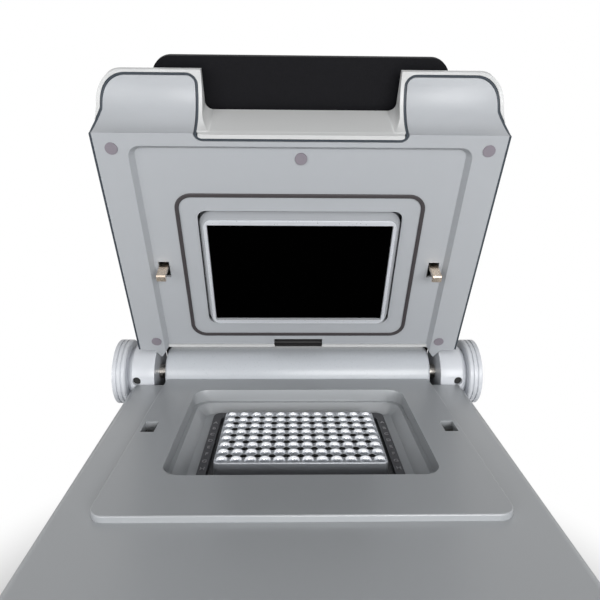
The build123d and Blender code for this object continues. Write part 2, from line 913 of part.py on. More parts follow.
fan_spots = ((-fan_spacing / 2, fan_z), (fan_spacing / 2, fan_z))
fan_bore = fan_size / 2 - fan_wall
with BuildPart() as fan_frames:
    with BuildSketch(Plane.XZ.offset(-fan_front)):
        with Locations(*fan_spots):
            RectangleRounded(fan_size, fan_size, fan_corner)
            Circle(fan_bore, mode=Mode.SUBTRACT)
    extrude(amount=-fan_depth)
    with BuildSketch(Plane.XZ.offset(-fan_back)):
        with Locations(*fan_spots):
            Circle(fan_hub)
            Rectangle(2 * fan_bore + fan_wall, fan_wall)
            Rectangle(fan_wall, 2 * fan_bore + fan_wall)
    extrude(amount=fan_wall)
    with BuildSketch(Plane.XZ.offset(-fan_back)):
        with Locations(*fan_spots):
            Circle(fan_axle)
    extrude(amount=fan_depth - 2 * fan_wall)
save(fan_frames, "fan_frames")

rotor_front = fan_front + fan_wall / 2
rotor_back = fan_back - fan_wall - fit_gap
blade_span = fan_bore - fan_tip_gap - fan_hub
for name, spot_x in (("left", -fan_spacing / 2), ("right", fan_spacing / 2)):
    with BuildPart() as rotor:
        with BuildSketch(Plane.XZ.offset(-rotor_front)):
            with Locations((spot_x, fan_z)):
                Circle(fan_hub)
        extrude(amount=rotor_front - rotor_back)
        hub_middle = (spot_x, (rotor_front + rotor_back) / 2, fan_z)
        for turn in range(fan_blades):
            angle = 360 * turn / fan_blades
            blade_plane = Plane(
                origin=hub_middle,
                x_dir=(0, 1, 0),
                z_dir=(cos(radians(angle)), 0, sin(radians(angle))),
            )
            with BuildSketch(blade_plane.offset(fan_hub - blade_root)):
                Rectangle(blade_chord, blade_thick, rotation=blade_twist)
            extrude(amount=blade_span + blade_root)
        with BuildSketch(Plane.XZ.offset(-rotor_back)):
            with Locations((spot_x, fan_z)):
                Circle(fan_axle + shaft_clearance)
        extrude(amount=rotor_back - rotor_front - fan_wall, mode=Mode.SUBTRACT)
    save(rotor, f"fan_rotor_{name}")

duct_width = fan_spacing + fan_size
with BuildPart() as duct:
    with BuildSketch(Plane.XZ.offset(-fan_back - fit_gap)):
        with Locations((0, fan_z)):
            Rectangle(duct_width, fan_size)
            Rectangle(duct_width - 2 * duct_wall, fan_size - 2 * duct_wall, mode=Mode.SUBTRACT)
    extrude(amount=-(rear_panel_y - fan_back - 2 * fit_gap))
save(duct, "air_duct")

# Power supply and control board

with BuildPart() as supply:
    with BuildSketch(Plane.XY.offset(tray_top)):
        with Locations((0, supply_y)):
            Rectangle(supply_width, supply_length)
    extrude(amount=supply_height)
    with BuildSketch(Plane.XY.offset(tray_top + supply_height)):
        with Locations((0, supply_y)):
            with GridLocations(vent_pitch, 0, vent_count, 1):
                Rectangle(vent_width, vent_length)
    extrude(amount=-board_thickness, mode=Mode.SUBTRACT)
save(supply, "power_supply")

with BuildPart() as standoffs:
    with BuildSketch(Plane.XY.offset(tray_top)):
        with Locations((0, board_y)):
            with GridLocations(board_width - 2 * standoff_inset, board_length - 2 * standoff_inset, 2, 2):
                Circle(standoff_radius)
    extrude(amount=standoff_height)
save(standoffs, "board_standoffs")

with BuildPart() as board:
    with BuildSketch(Plane.XY.offset(tray_top + standoff_height)):
        with Locations((0, board_y)):
            Rectangle(board_width, board_length)
    extrude(amount=board_thickness)
    with BuildSketch(Plane.XY.offset(tray_top + standoff_height + board_thickness)):
        with Locations((chip_x, board_y + chip_y)):
            Rectangle(chip_size, chip_size)
        with Locations((bank_x, board_y + bank_y)):
            Rectangle(bank_width, bank_length)
        with Locations((0, board_y + plug_y)):
            Rectangle(plug_width, plug_length)
    extrude(amount=board_parts_height)
save(board, "control_board")

# Hinge: cover, shaft and dampers in the base

with BuildPart() as hinge_cover:
    with BuildSketch(Plane.YZ.offset(-housing_length / 2)):
        with Locations((hinge_y, hinge_z)):
            Circle(housing_radius)
    extrude(amount=housing_length)
    chamfer(hinge_cover.edges().filter_by(GeomType.CIRCLE), housing_edge)
    with BuildSketch(Plane.YZ.offset(-housing_length / 2 + housing_wall)):
        with Locations((hinge_y, hinge_z)):
            Circle(housing_radius - housing_wall)
    extrude(amount=housing_length - 2 * housing_wall, mode=Mode.SUBTRACT)
    with BuildSketch(Plane.YZ.offset(-housing_length / 2)):
        with Locations((hinge_y, hinge_z)):
            Circle(shaft_radius + shaft_clearance)
    extrude(amount=housing_length, mode=Mode.SUBTRACT)
save(hinge_cover, "hinge_cover")

shaft_half = barrel_outer - shaft_setback
with BuildPart() as hinge_shaft:
    with BuildSketch(Plane.YZ.offset(-shaft_half)):
        with Locations((hinge_y, hinge_z)):
            Circle(shaft_radius)
    extrude(amount=2 * shaft_half)
    chamfer(hinge_shaft.edges().filter_by(GeomType.CIRCLE), shaft_edge)
save(hinge_shaft, "hinge_shaft")

damper_x = housing_length / 2 - housing_wall - fit_gap
with BuildPart() as dampers:
    for side in sides:
        with BuildSketch(Plane.YZ.offset(side * damper_x)):
            with Locations((hinge_y, hinge_z)):
                Circle(housing_radius - housing_wall - fit_gap)
        extrude(amount=-side * housing_wall)
        with BuildSketch(Plane.YZ.offset(side * damper_x)):
            with Locations((hinge_y, hinge_z)):
                Circle(damper_radius)
        extrude(amount=-side * damper_length)
    with BuildSketch(Plane.YZ.offset(-damper_x)):
        with Locations((hinge_y, hinge_z)):
            Circle(shaft_radius + shaft_clearance)
    extrude(amount=2 * damper_x, mode=Mode.SUBTRACT)
save(dampers, "hinge_dampers")

striker_z = deck_height - body_wall
striker_y = window_y + window_length / 2 + striker_gap + striker_length / 2
with BuildPart() as strikers:
    with BuildSketch(Plane.XY.offset(striker_z)):
        with Locations((-window_x, striker_y), (window_x, striker_y)):
            Rectangle(window_width + 2 * striker_side, striker_length)
    extrude(amount=-striker_thickness)
save(strikers, "latch_strikers")

# Lid, modelled closed and swung open when it is written

cove_front = crease_y - cove_radius
lip_low = rim_z + cove_radius
lip_top = lip_low + shell_lip
with BuildPart() as envelope:
    with BuildSketch(Plane.XY.offset(rim_z)) as lid_view:
        with Locations((0, (lid_back + shell_front - joint_gap) / 2)):
            Rectangle(2 * shell_half, lid_back - shell_front + joint_gap)
        fillet(lid_view.vertices().group_by(Axis.Y)[0], pod_corner + shell_lip)
    extrude(amount=lid_height)
    with BuildSketch(Plane.YZ):
        with BuildLine():
            Polyline((lid_back, shell_low), (crease_y, shell_low))
            RadiusArc((crease_y, shell_low), (cove_front, lip_low), -cove_radius)
            Polyline((cove_front, lip_low), (shell_front, lip_low), (shell_front, lip_top))
            RadiusArc((shell_front, lip_top), (shell_front + visor_run, lid_top), visor_radius)
            Polyline((shell_front + visor_run, lid_top), (lid_back - rear_round, lid_top))
            RadiusArc((lid_back - rear_round, lid_top), (lid_back, lid_top - rear_round), rear_round)
            Line((lid_back, lid_top - rear_round), (lid_back, shell_low))
        make_face()
    extrude(amount=lid_width, both=True, mode=Mode.INTERSECT)
    with BuildSketch(Plane.XZ.offset(-lid_back - 1)) as end_view:
        with Locations((0, lid_top - lid_height)):
            Rectangle(2 * shell_half, 2 * lid_height)
        fillet(end_view.vertices().group_by(Axis.Y)[-1], lid_crown)
    extrude(amount=2 * lid_width, mode=Mode.INTERSECT)

liner_grow = parting_width + joint_gap
band_top = parting_height + parting_depth
with BuildPart() as lid_room:
    extrude(lid_plan(rim_z - 1, liner_grow + joint_gap), amount=lid_height)
    with BuildSketch(Plane.YZ):
        with BuildLine():
            Polyline(
                (lid_back - shell_wall, rim_z - 1),
                (lid_back - shell_wall, lid_top - rear_round),
                (lid_back - rear_round, lid_top - shell_wall),
                (shell_front + visor_run, lid_top - shell_wall),
                (shell_front + shell_wall, lip_top - shell_wall),
                (shell_front + shell_wall, rim_z - 1),
                close=True,
            )
        make_face()
    extrude(amount=lid_width, both=True, mode=Mode.INTERSECT)
    with BuildSketch(Plane.XZ.offset(-lid_back - 1)) as room_view:
        with Locations((0, lid_top - shell_wall - lid_height)):
            Rectangle(2 * inner_half, 2 * lid_height)
        fillet(room_view.vertices().group_by(Axis.Y)[-1], lid_crown - shell_wall)
    extrude(amount=2 * lid_width, mode=Mode.INTERSECT)

grip_y = crease_y + notch_back - liner_grow - joint_gap
tray_half = handle_half + handle_side_gap
tray_back = crease_y + handle_back + handle_gap
tray_floor = rim_z + handle_under - handle_gap
tray_drop = (handle_y - shell_front) * tan(radians(handle_press))
tray_cut = (handle_y - shell_front + visor_run) * tan(radians(handle_press))
with BuildPart() as handle_tray:
    with BuildSketch(Plane.YZ):
        with BuildLine():
            Polyline(
                (tray_back + shell_wall, lid_top),
                (tray_back + shell_wall, tray_floor - shell_wall),
                (handle_y, tray_floor - shell_wall),
                (shell_front, tray_floor - tray_drop - shell_wall),
                (shell_front, lid_top),
                close=True,
            )
        make_face()
    extrude(amount=tray_half + shell_wall, both=True)
    add(envelope.part, mode=Mode.INTERSECT)

with BuildPart() as seam_room:
    extrude(lid_plan(rim_z - 1, liner_grow + joint_gap), amount=lid_height)
    extrude(cove_view(-1, band_top + joint_gap), amount=lid_width, both=True, mode=Mode.INTERSECT)

with BuildPart() as lid_shell:
    add(envelope.part)
    add(lid_room.part, mode=Mode.SUBTRACT)
    with BuildSketch(Plane.XY.offset(rim_z)):
        with Locations((0, grip_y - shell_wall / 2)):
            Rectangle(2 * notch_half + shell_wall, shell_wall)
    extrude(amount=handle_under, dir=(0, -notch_lean, handle_under))
    add(handle_tray.part)
    add(seam_room.part, mode=Mode.SUBTRACT)
    with BuildSketch(Plane.YZ):
        with BuildLine():
            Polyline(
                (tray_back, lid_top + rear_round),
                (tray_back, tray_floor),
                (handle_y, tray_floor),
                (shell_front - visor_run, tray_floor - tray_cut),
                (shell_front - visor_run, lid_top + rear_round),
                close=True,
            )
        make_face()
    extrude(amount=tray_half, both=True, mode=Mode.SUBTRACT)
    with BuildSketch(Plane.XY.offset(rim_z - 1)) as grip_plan:
        with Locations((0, (grip_y - shell_wall + shell_front - cove_radius) / 2)):
            Rectangle(2 * notch_half, grip_y - shell_wall - shell_front + cove_radius)
        fillet(grip_plan.vertices().group_by(Axis.Y)[-1], notch_corner)
    extrude(amount=2 * lid_height, dir=(0, -notch_lean, handle_under), mode=Mode.SUBTRACT)
    with BuildSketch(Plane.XY.offset(tray_floor - 2 * shell_wall)):
        with Locations((0, handle_y)):
            Rectangle(2 * fork_half + 2 * handle_gap, crank_slot)
    extrude(amount=4 * shell_wall, mode=Mode.SUBTRACT)
    with BuildSketch(Plane.YZ.offset(-tray_half - pin_seat)):
        with Locations((handle_y, handle_z)):
            Circle(handle_pin)
    extrude(amount=2 * (tray_half + pin_seat), mode=Mode.SUBTRACT)
    with BuildSketch(Plane.XZ.offset(-lid_back - 1)):
        with Locations((-arm_x, arm_z), (arm_x, arm_z)):
            Rectangle(arm_width + 2 * fit_gap, arm_height + 2 * fit_gap)
    extrude(amount=2 * shell_wall, mode=Mode.SUBTRACT)
    with BuildSketch(Plane.XY.offset(shell_low - 1)):
        with Locations((0, lid_back)):
            Rectangle(cable_width, 2 * cable_length)
    extrude(amount=liner_top - shell_low + 1, mode=Mode.SUBTRACT)
save_open(lid_shell, "lid_shell")

step_angle = degrees(atan2(step_slope, panel_rise))
with BuildPart() as liner:
    extrude(lid_plan(rim_z, 0), amount=lid_height)
    extrude(cove_view(0, band_top), amount=lid_width, both=True, mode=Mode.INTERSECT)
    slab_front = crease_y + notch_back
    slab_back = lid_back - shell_wall - fit_gap
    with BuildSketch(Plane.XY.offset(rim_z + band_top)):
        with Locations((0, (slab_back + slab_front) / 2)):
            Rectangle(2 * (inner_half - fit_gap), slab_back - slab_front)
    extrude(amount=liner_top - rim_z - band_top)
    for side in sides:
        with BuildSketch(Plane.XY.offset(rim_z)):
            with BuildLine():
                Polyline(
                    (side * (tongue_x - tongue_half), lid_back),
                    (side * tongue_x, lid_back + tongue_reach),
                    (side * (tongue_x + tongue_half), lid_back),
                    close=True,
                )
            make_face()
        extrude(amount=band_top)
    step_back = lid_back + tongue_reach + step_slope
    step_start = block_y - step_front
    with BuildSketch(Plane.XY.offset(rim_z)) as step_plan:
        with Locations((0, (step_back + step_start) / 2)):
            Rectangle(2 * step_x, step_back - step_start)
        fillet(step_plan.vertices().group_by(Axis.Y)[0], step_corner)
    extrude(amount=panel_rise, taper=step_angle, mode=Mode.SUBTRACT)
    with BuildSketch(Plane.XY.offset(panel_z)):
        with Locations((0, block_y)):
            RectangleRounded(platen_width + 2 * pocket_gap, platen_length + 2 * pocket_gap, platen_corner)
        with Locations((-window_x, slot_y), (window_x, slot_y)):
            Rectangle(hook_width + slot_side, slot_length)
        with Locations((0, lid_back)):
            Rectangle(cable_width, 2 * cable_length)
    extrude(amount=2 * panel_thickness, mode=Mode.SUBTRACT)
    with BuildSketch(Plane.XY.offset(liner_top)):
        with Locations((0, block_y)):
            with GridLocations(backing_width - 3 * boss_radius, backing_length - 3 * boss_radius, 2, 2):
                Circle(boss_radius)
    extrude(amount=backing_low - liner_top)
save_open(liner, "lid_liner")

with BuildPart() as parting:
    extrude(lid_plan(rim_z, liner_grow), amount=lid_height)
    extrude(lid_plan(rim_z, joint_gap), amount=lid_height, mode=Mode.SUBTRACT)
    extrude(cove_view(parting_height, band_top), amount=lid_width, both=True, mode=Mode.INTERSECT)
    with BuildSketch(Plane.XY.offset(rim_z)):
        with Locations((0, lid_back + liner_grow)):
            Rectangle(2 * lid_width, 2 * liner_grow)
    extrude(amount=lid_height, mode=Mode.SUBTRACT)
save_open(parting, "parting_seal")

seal_hole_width = seal_width - 2 * seal_band
seal_hole_length = seal_length - 2 * seal_band
with BuildPart() as lid_seal:
    extrude(rounded(panel_z, seal_width, seal_length, seal_corner), amount=-seal_proud)
    seal_hole = rounded(panel_z, seal_hole_width, seal_hole_length, seal_corner - seal_band)
    extrude(seal_hole, amount=-seal_proud, mode=Mode.SUBTRACT)
save_open(lid_seal, "lid_seal")

bumper_front = block_y - bumper_front_reach
bumper_back = block_y + bumper_back_reach
with BuildPart() as bumpers:
    with BuildSketch(Plane.XY.offset(rim_z)):
        with Locations(
            (-bumper_front_x, bumper_front),
            (bumper_front_x, bumper_front),
            (-bumper_back_x, bumper_back),
            (bumper_back_x, bumper_back),
        ):
            Circle(bumper_radius)
    extrude(amount=-rim_bumper_proud)
    with BuildSketch(Plane.XY.offset(panel_z)):
        with Locations((0, block_y - centre_bumper_reach)):
            Circle(bumper_radius)
    extrude(amount=-seal_proud)
save_open(bumpers, "lid_bumpers")

# Barrels and caps of the lid's hinge

hole_place = (barrel_radius + shaft_radius) / 2
hole_front = -cos(radians(open_angle))
hole_down = -sin(radians(open_angle))
hole_plane = Plane(
    origin=(0, hinge_y + hole_place * hole_front, hinge_z + hole_place * hole_down),
    x_dir=(1, 0, 0),
    z_dir=(0, hole_front, hole_down),
)
for name, side in (("left", -1), ("right", 1)):
    with BuildPart() as barrel:
        with BuildSketch(Plane.YZ.offset(side * barrel_inner)):
            with Locations((hinge_y, hinge_z)):
                Circle(barrel_radius)
        extrude(amount=side * barrel_width)
        chamfer(barrel.faces().sort_by(Axis.X)[-(side + 1) // 2].edges(), barrel_bevel)
        arm_back = hinge_y - arm_overlap
        arm_front = lid_back - arm_reach
        with BuildSketch(Plane.XY.offset(arm_z - arm_height / 2)):
            with Locations((side * arm_x, (arm_back + arm_front) / 2)):
                Rectangle(arm_width, arm_back - arm_front)
        extrude(amount=arm_height)
        with BuildSketch(Plane.YZ.offset(side * barrel_inner)):
            with Locations((hinge_y, hinge_z)):
                Circle(shaft_radius + shaft_clearance)
        extrude(amount=side * barrel_width, mode=Mode.SUBTRACT)
        with BuildSketch(hole_plane):
            with Locations((side * barrel_hole_x, 0)):
                Circle(barrel_hole)
        extrude(amount=barrel_radius, mode=Mode.SUBTRACT)
    save_open(barrel, f"hinge_barrel_{name}")
    with BuildPart() as cap:
        with BuildSketch(Plane.YZ.offset(side * barrel_outer)):
            with Locations((hinge_y, hinge_z)):
                Circle(cap_radius)
        extrude(amount=side * cap_width)
        chamfer(cap.faces().sort_by(Axis.X)[(side - 1) // 2].edges(), cap_edge)
        for groove in (1, 2):
            with BuildSketch(Plane.YZ.offset(side * (barrel_outer + groove * cap_width / 3))):
                with Locations((hinge_y, hinge_z)):
                    Circle(cap_radius + 1)
                    Circle(cap_radius - groove_depth, mode=Mode.SUBTRACT)
            extrude(amount=groove_width / 2, both=True, mode=Mode.SUBTRACT)
    save_open(cap, f"hinge_cap_{name}")

# Handle with its fork and pins

handle_length = handle_front + handle_back
with BuildPart() as handle:
    with BuildSketch(Plane.XY.offset(rim_z + handle_under)) as handle_plan:
        with Locations((0, crease_y + (handle_back - handle_front) / 2)):
            Rectangle(2 * handle_half, handle_length)
        fillet(handle_plan.vertices().group_by(Axis.Y)[0], handle_corner)
    extrude(amount=handle_thickness)
    fillet(handle.faces().sort_by(Axis.Z)[-1].edges(), handle_edge)
    with BuildSketch(Plane.XY.offset(link_z - 2 * handle_pin)):
        with Locations((-fork_half + fork_wall / 2, handle_y), (fork_half - fork_wall / 2, handle_y)):
            Rectangle(fork_wall, 4 * handle_pin)
    extrude(amount=rim_z + handle_under - link_z + 2 * handle_pin + 1)
    with BuildSketch(Plane.YZ.offset(-fork_half)):
        with Locations((handle_y, link_z)):
            Circle(handle_pin)
    extrude(amount=2 * fork_half)
    with BuildSketch(Plane.YZ.offset(-handle_half)):
        with Locations((handle_y, handle_z)):
            Circle(handle_pin + shaft_clearance)
    extrude(amount=pin_reach + fit_gap, mode=Mode.SUBTRACT)
    with BuildSketch(Plane.YZ.offset(handle_half)):
        with Locations((handle_y, handle_z)):
            Circle(handle_pin + shaft_clearance)
    extrude(amount=-pin_reach - fit_gap, mode=Mode.SUBTRACT)
save_open(handle, "handle_flap")

with BuildPart() as handle_pins:
    for side in sides:
        with BuildSketch(Plane.YZ.offset(side * (tray_half + pin_seat))):
            with Locations((handle_y, handle_z)):
                Circle(handle_pin)
        extrude(amount=-side * (pin_seat + handle_side_gap + pin_reach))
save_open(handle_pins, "handle_pins")

# Latch shaft with its hooks, lever and link

with BuildPart() as latch_shaft:
    with BuildSketch(Plane.YZ.offset(-shaft_end)):
        with Locations((latch_y, latch_z)):
            Circle(latch_shaft_radius)
    extrude(amount=2 * shaft_end)
save_open(latch_shaft, "latch_shaft")

hook_tip = plate_top - hook_tip_depth - hook_toe
hook_bore = latch_shaft_radius + fit_gap / 2
with BuildPart() as hooks:
    for side in sides:
        with BuildSketch(Plane.YZ.offset(side * window_x)):
            with Locations((latch_y, latch_z)):
                Circle(latch_shaft_radius + hook_thickness)
            with BuildLine():
                front_y = latch_y - hook_front
                Polyline(
                    (front_y, latch_z),
                    (front_y, hook_tip + hook_lead),
                    (front_y + hook_lead, hook_tip),
                    (front_y + hook_reach - hook_lead, hook_tip),
                    (front_y + hook_reach, hook_tip + hook_lead),
                    (front_y + hook_reach, hook_tip + hook_toe),
                    (front_y + hook_thickness, hook_tip + hook_toe),
                    (front_y + hook_thickness, latch_z),
                    close=True,
                )
            make_face()
            with Locations((latch_y, latch_z)):
                Circle(hook_bore, mode=Mode.SUBTRACT)
        extrude(amount=hook_width / 2, both=True)
save_open(hooks, "latch_hooks")

lever_inner = link_width / 2 + lever_gap
with BuildPart() as lever:
    with BuildSketch(Plane.YZ.offset(lever_inner)):
        with Locations((latch_y, latch_z)):
            Circle(latch_shaft_radius + hook_thickness)
        with Locations((latch_y, (latch_z + link_z) / 2)):
            Rectangle(2 * eye_radius, latch_z - link_z)
        with Locations((latch_y, link_z)):
            Circle(eye_radius)
        with Locations((latch_y, latch_z)):
            Circle(hook_bore, mode=Mode.SUBTRACT)
    extrude(amount=lever_width)
    with BuildSketch(Plane.YZ.offset(-link_width / 2)):
        with Locations((latch_y, link_z)):
            Circle(link_pin)
    extrude(amount=link_width / 2 + lever_inner)
save_open(lever, "latch_lever")

with BuildPart() as link:
    with BuildSketch(Plane.YZ):
        with Locations((handle_y, link_z)):
            Circle(2 * handle_pin)
        with Locations((latch_y, link_z)):
            Circle(eye_radius)
        with Locations(((handle_y + latch_y) / 2, link_z)):
            Rectangle(latch_y - handle_y, 2 * eye_radius)
        with Locations((handle_y, link_z)):
            Circle(handle_pin + shaft_clearance, mode=Mode.SUBTRACT)
        with Locations((latch_y, link_z)):
            Circle(link_pin + link_clearance, mode=Mode.SUBTRACT)
    extrude(amount=link_width / 2, both=True)
save_open(link, "latch_link")

bearing_top = latch_z + 2 * latch_shaft_radius
with BuildPart() as bearings:
    with BuildSketch(Plane.XY.offset(backing_top)):
        with Locations((-bearing_x, latch_y), (bearing_x, latch_y)):
            Rectangle(bearing_width, 2 * bearing_width)
    extrude(amount=bearing_top - backing_top)
    with BuildSketch(Plane.YZ.offset(-bearing_x - bearing_width)):
        with Locations((latch_y, latch_z)):
            Circle(latch_shaft_radius + shaft_clearance)
    extrude(amount=2 * (bearing_x + bearing_width), mode=Mode.SUBTRACT)
save_open(bearings, "latch_bearings")

# Plate over the liner that carries the latch and the floating heater

with BuildPart() as backing:
    with BuildSketch(Plane.XY.offset(backing_low)):
        with Locations((0, block_y)):
            RectangleRounded(backing_width, backing_length, platen_corner)
            with GridLocations(2 * post_x, 2 * post_y, 2, 2):
                Circle(post_radius + shaft_clearance, mode=Mode.SUBTRACT)
    extrude(amount=backing_thickness)
save_open(backing, "backing_plate")

with BuildPart() as cups:
    with BuildSketch(Plane.XY.offset(backing_top)):
        with Locations((0, block_y)):
            with GridLocations(2 * post_x, 2 * post_y, 2, 2):
                Circle(cup_radius)
    extrude(amount=cup_height)
    with BuildSketch(Plane.XY.offset(backing_top)):
        with Locations((0, block_y)):
            with GridLocations(2 * post_x, 2 * post_y, 2, 2):
                Circle(cup_radius - cup_wall)
    extrude(amount=cup_height - cup_wall, mode=Mode.SUBTRACT)
save_open(cups, "spring_cups")

# Heated plate that floats on four posts

with BuildPart() as platen_frame:
    with BuildSketch(Plane.XY.offset(platen_low)):
        with Locations((0, block_y)):
            RectangleRounded(platen_width, platen_length, platen_corner)
            Rectangle(heater_width + 2 * joint_gap, heater_length + 2 * joint_gap, mode=Mode.SUBTRACT)
    extrude(amount=carrier_low - platen_low)
save_open(platen_frame, "platen_frame")

with BuildPart() as heater:
    with BuildSketch(Plane.XY.offset(heater_low)):
        with Locations((0, block_y)):
            Rectangle(heater_width, heater_length)
    extrude(amount=heater_thickness)
    chamfer(heater.faces().sort_by(Axis.Z)[0].edges(), heater_edge)
save_open(heater, "heater_plate")

with BuildPart() as mat:
    with BuildSketch(Plane.XY.offset(heater_top)):
        with Locations((0, block_y)):
            Rectangle(heater_width - mat_inset, heater_length - mat_inset)
    extrude(amount=mat_thickness)
save_open(mat, "heater_mat")

with BuildPart() as insulation:
    with BuildSketch(Plane.XY.offset(heater_top + mat_thickness)):
        with Locations((0, block_y)):
            Rectangle(heater_width - mat_inset, heater_length - mat_inset)
    extrude(amount=insulation_thickness)
save_open(insulation, "platen_insulation")

with BuildPart() as carrier:
    carrier_width = platen_width + 2 * carrier_margin
    carrier_length = platen_length + 2 * carrier_margin
    extrude(rounded(carrier_low, carrier_width, carrier_length, platen_corner), amount=carrier_thickness)
save_open(carrier, "platen_carrier")

with BuildPart() as posts:
    with BuildSketch(Plane.XY.offset(carrier_top)):
        with Locations((0, block_y)):
            with GridLocations(2 * post_x, 2 * post_y, 2, 2):
                Circle(post_radius)
    extrude(amount=backing_top - carrier_top + post_head)
    with BuildSketch(Plane.XY.offset(backing_top + joint_gap)):
        with Locations((0, block_y)):
            with GridLocations(2 * post_x, 2 * post_y, 2, 2):
                Circle(cup_radius - cup_wall - 2 * joint_gap)
    extrude(amount=post_head)
save_open(posts, "guide_posts")
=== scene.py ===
import json
import math
import bmesh
import bpy
from mathutils import Matrix, Vector


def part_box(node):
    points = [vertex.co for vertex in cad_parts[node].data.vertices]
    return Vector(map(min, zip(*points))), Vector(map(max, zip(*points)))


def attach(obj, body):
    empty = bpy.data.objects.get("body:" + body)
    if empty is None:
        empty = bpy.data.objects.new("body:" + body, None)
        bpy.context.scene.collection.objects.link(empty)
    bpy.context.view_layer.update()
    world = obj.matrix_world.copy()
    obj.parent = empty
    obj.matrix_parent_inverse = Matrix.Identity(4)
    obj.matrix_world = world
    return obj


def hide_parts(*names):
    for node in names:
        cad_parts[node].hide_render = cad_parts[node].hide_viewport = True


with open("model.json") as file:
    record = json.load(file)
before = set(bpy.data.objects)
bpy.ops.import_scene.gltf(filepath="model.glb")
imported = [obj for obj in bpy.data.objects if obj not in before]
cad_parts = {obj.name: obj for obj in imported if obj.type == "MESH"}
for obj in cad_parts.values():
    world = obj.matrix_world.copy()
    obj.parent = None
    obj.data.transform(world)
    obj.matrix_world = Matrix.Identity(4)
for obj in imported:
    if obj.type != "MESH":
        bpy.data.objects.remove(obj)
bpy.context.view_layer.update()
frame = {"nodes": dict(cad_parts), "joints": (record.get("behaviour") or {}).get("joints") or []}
nodes = frame["nodes"]

# The scene is in metres; sizes here are in millimetres, except those of the lamps and the floor
MM = 0.001
SHARP_ANGLE = math.radians(35)
LEFT_AND_RIGHT = ((-1, "left"), (1, "right"))

# Camera, fitted to the well grid, the deck and the lid
TILT_DOWN, YAW, ROLL = (math.radians(v) for v in (11.658, 1.112, 0.366))
CAMERA_PLACE = Vector((-7.155, -320.47, 356.39))
CAMERA_NEAREST = 10
SENSOR_WIDTH = 36
IMAGE_SIZE = 600
FOCAL_PIXELS = 536.46
CENTRE_ROW = 284.43
flat = math.cos(TILT_DOWN)
forward = Vector((math.sin(YAW) * flat, math.cos(YAW) * flat, -math.sin(TILT_DOWN)))
level = Vector((math.cos(YAW), -math.sin(YAW), 0))
upward = level.cross(forward)
right = math.cos(ROLL) * level + math.sin(ROLL) * upward
up = right.cross(forward)
turn = Matrix((right, up, -forward)).transposed().to_4x4()
camera = bpy.data.objects.new("camera", bpy.data.cameras.new("camera"))
bpy.context.scene.collection.objects.link(camera)
camera.matrix_world = Matrix.Translation(CAMERA_PLACE * MM) @ turn
camera.data.sensor_width = SENSOR_WIDTH
camera.data.lens = SENSOR_WIDTH * FOCAL_PIXELS / IMAGE_SIZE
camera.data.shift_y = (CENTRE_ROW - IMAGE_SIZE / 2) / IMAGE_SIZE
camera.data.clip_start = CAMERA_NEAREST * MM
bpy.context.scene.camera = camera
bpy.context.scene.view_settings.view_transform = "Standard"

# Materials
GRAIN_SCALE = 900.0
GRAIN_DETAIL = 3
GRAIN_DEPTH = 0.2
NOISE_LOW, NOISE_HIGH = 0.3, 0.7


def linear(value):
    """Linear light of an sRGB value from 0 to 255"""
    v = value / 255
    return v / 12.92 if v <= 0.04045 else ((v + 0.055) / 1.055) ** 2.4


def colour(r, g, b):
    return (linear(r), linear(g), linear(b), 1)


def material(name, rgb, rough, metallic=0.0, grain=0.0, speckle=0.0, coat=0.0, gloss=0.5):
    """A material whose roughness and surface vary a little, as on moulded or machined parts"""
    mat = bpy.data.materials.new(name)
    mat.use_nodes = True
    tree = mat.node_tree
    shader = tree.nodes["Principled BSDF"]
    shader.inputs["Base Color"].default_value = colour(*rgb)
    shader.inputs["Roughness"].default_value = rough
    shader.inputs["Metallic"].default_value = metallic
    shader.inputs["Coat Weight"].default_value = coat
    shader.inputs["Specular IOR Level"].default_value = gloss
    where = tree.nodes.new("ShaderNodeTexCoord")
    noise = tree.nodes.new("ShaderNodeTexNoise")
    noise.inputs["Scale"].default_value = GRAIN_SCALE
    noise.inputs["Detail"].default_value = GRAIN_DETAIL
    tree.links.new(where.outputs["Object"], noise.inputs["Vector"])
    if grain:
        bump = tree.nodes.new("ShaderNodeBump")
        bump.inputs["Strength"].default_value = grain
        bump.inputs["Distance"].default_value = GRAIN_DEPTH * MM
        tree.links.new(noise.outputs["Fac"], bump.inputs["Height"])
        tree.links.new(bump.outputs["Normal"], shader.inputs["Normal"])
    if speckle:
        tone = tree.nodes.new("ShaderNodeMapRange")
        tone.inputs["From Min"].default_value = NOISE_LOW
        tone.inputs["From Max"].default_value = NOISE_HIGH
        tone.inputs["To Min"].default_value = rough - speckle
        tone.inputs["To Max"].default_value = rough + speckle
        tree.links.new(noise.outputs["Fac"], tone.inputs["Value"])
        tree.links.new(tone.outputs["Result"], shader.inputs["Roughness"])
    return mat


